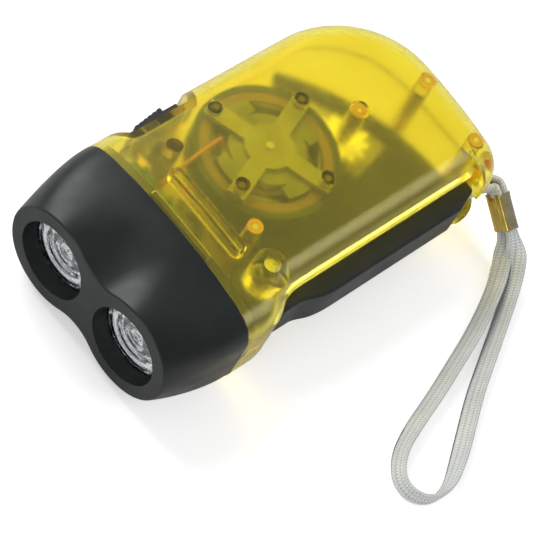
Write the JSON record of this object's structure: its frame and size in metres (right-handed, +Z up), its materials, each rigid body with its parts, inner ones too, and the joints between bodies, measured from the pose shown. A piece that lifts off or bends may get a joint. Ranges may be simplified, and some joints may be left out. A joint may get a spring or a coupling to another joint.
{
  "type": "hand crank flashlight",
  "caption": "Palm-sized squeeze-lever dynamo flashlight with a twin-lamp black head, translucent yellow casing, visible flywheel generator and braided wrist strap.",
  "frame": {"origin": "on the resting plane, under the middle of the casing's length and width", "axes": "+Z up from the resting face, -Y the way the lamps face, +X towards the squeeze lever"},
  "size_m": [0.1079, 0.1099, 0.0306],
  "materials": {
    "shell_yellow": "frosted translucent bright yellow polycarbonate, slightly glossier at the lever slot's edge",
    "bezel_black": "satin black moulding",
    "lever_black": "black moulding, finely grained, worn a little grey on its side",
    "switch_black": "black moulding with ridges",
    "lens_clear": "clear moulded lens",
    "reflector_chrome": "vacuum-metallised bowl",
    "led_clear": "water-clear lamp body",
    "board_green": "green lacquered circuit board",
    "board_parts": "dark capacitor sleeve, black chip and diode bodies",
    "brass": "plain brass",
    "steel": "turned steel",
    "spring_steel": "bright spring wire",
    "gear_white": "natural acetal",
    "flywheel_steel": "dark grey-green coated steel",
    "magnet_brown": "brown ferrite",
    "stator_steel": "zinc-plated pressed steel",
    "bobbin": "natural nylon",
    "copper_wire": "enamelled copper wire",
    "bracket_plated": "yellow-passivated pressed steel",
    "cell_steel": "nickel-plated can",
    "wire_orange": "orange insulation",
    "wire_red": "red insulation",
    "wire_black": "black insulation",
    "post_orange": "amber moulded pin",
    "strap_grey": "grey-white braided cord",
    "clasp_chrome": "bright plated crimp"
  },
  "bodies": {
    "casing": {"upper_shell": "shell_yellow", "lower_shell": "shell_yellow", "head_bezel": "bezel_black", "lens_switch_side": "lens_clear", "lens_lever_side": "lens_clear", "reflector_switch_side": "reflector_chrome", "reflector_lever_side": "reflector_chrome", "led_switch_side": "led_clear", "led_lever_side": "led_clear", "led_board": "board_green", "pivot_pin": "steel", "lever_spring": "spring_steel", "drive_axle": "steel", "idler_axle": "steel", "gear_bridge": "bracket_plated", "stator_core": "stator_steel", "coil_bobbin": "bobbin", "coil_winding": "copper_wire", "stator_bracket": "bracket_plated", "lower_bush": "brass", "bridge_screws": "steel", "bracket_screws": "steel", "housing_screws": "steel", "storage_cell": "cell_steel", "cell_tab": "steel", "control_board": "board_green", "board_parts": "board_parts", "switch_contacts": "brass", "coil_wire": "wire_orange", "red_wire": "wire_red", "black_wire": "wire_black", "switch_body": "switch_black", "strap_post": "post_orange", "strap_neck": "strap_grey", "strap_clasp": "clasp_chrome", "strap_loop": "strap_grey"},
    "lever": {"squeeze_lever": "lever_black"},
    "clutch": {"drive_pinion": "gear_white"},
    "pawl": {"pawl": "steel"},
    "ratchet": {"ratchet_gear": "gear_white"},
    "idler": {"idler_gear": "gear_white"},
    "rotor": {"flywheel": "flywheel_steel", "magnet_ring": "magnet_brown", "rotor_axle": "steel", "rotor_pinion": "brass"},
    "switch": {"switch_slider": "switch_black"},
    "lock": {"lock_slider": "switch_black"}
  },
  "joints": [
    {"name": "lever_squeeze", "type": "hinge", "parent": "casing", "child": "lever", "pos_m": [0.0183, -0.0185, 0.0153], "axis": [0, 0, -1], "range_deg": [0, 22], "deforming": ["lever_spring"]},
    {"name": "clutch_spin", "type": "hinge", "parent": "casing", "child": "clutch", "pos_m": [-0.00172, 0.02732, 0.0153], "axis": [0, 0, -1], "continuous": true},
    {"name": "ratchet_spin", "type": "hinge", "parent": "casing", "child": "ratchet", "pos_m": [-0.00172, 0.02732, 0.0088], "axis": [0, 0, -1], "continuous": true},
    {"name": "idler_spin", "type": "hinge", "parent": "casing", "child": "idler", "pos_m": [-0.00443, 0.01196, 0.0066], "axis": [0, 0, -1], "continuous": true},
    {"name": "flywheel_spin", "type": "hinge", "parent": "casing", "child": "rotor", "pos_m": [-0.00599, 0.00309, 0.0153], "axis": [0, 0, 1], "range_deg": [0, 1398.22]},
    {"name": "pawl_swing", "type": "hinge", "parent": "clutch", "child": "pawl", "pos_m": [0.00368, 0.02732, 0.01], "axis": [0, 0, -1], "range_deg": [0, 12]},
    {"name": "switch_slide", "type": "slide", "parent": "casing", "child": "switch", "axis": [0, -1, 0], "range_m": [0, 0.002]},
    {"name": "lock_slide", "type": "slide", "parent": "casing", "child": "lock", "axis": [1, 0, 0], "range_m": [0, 0.003]}
  ],
  "couplings": [
    {"joint": "lever_squeeze", "follows": "flywheel_spin", "ratio": 0.015734},
    {"joint": "clutch_spin", "follows": "flywheel_spin", "ratio": -0.11538},
    {"joint": "ratchet_spin", "follows": "flywheel_spin", "ratio": -0.11538},
    {"joint": "idler_spin", "follows": "flywheel_spin", "ratio": 0.38462}
  ]
}
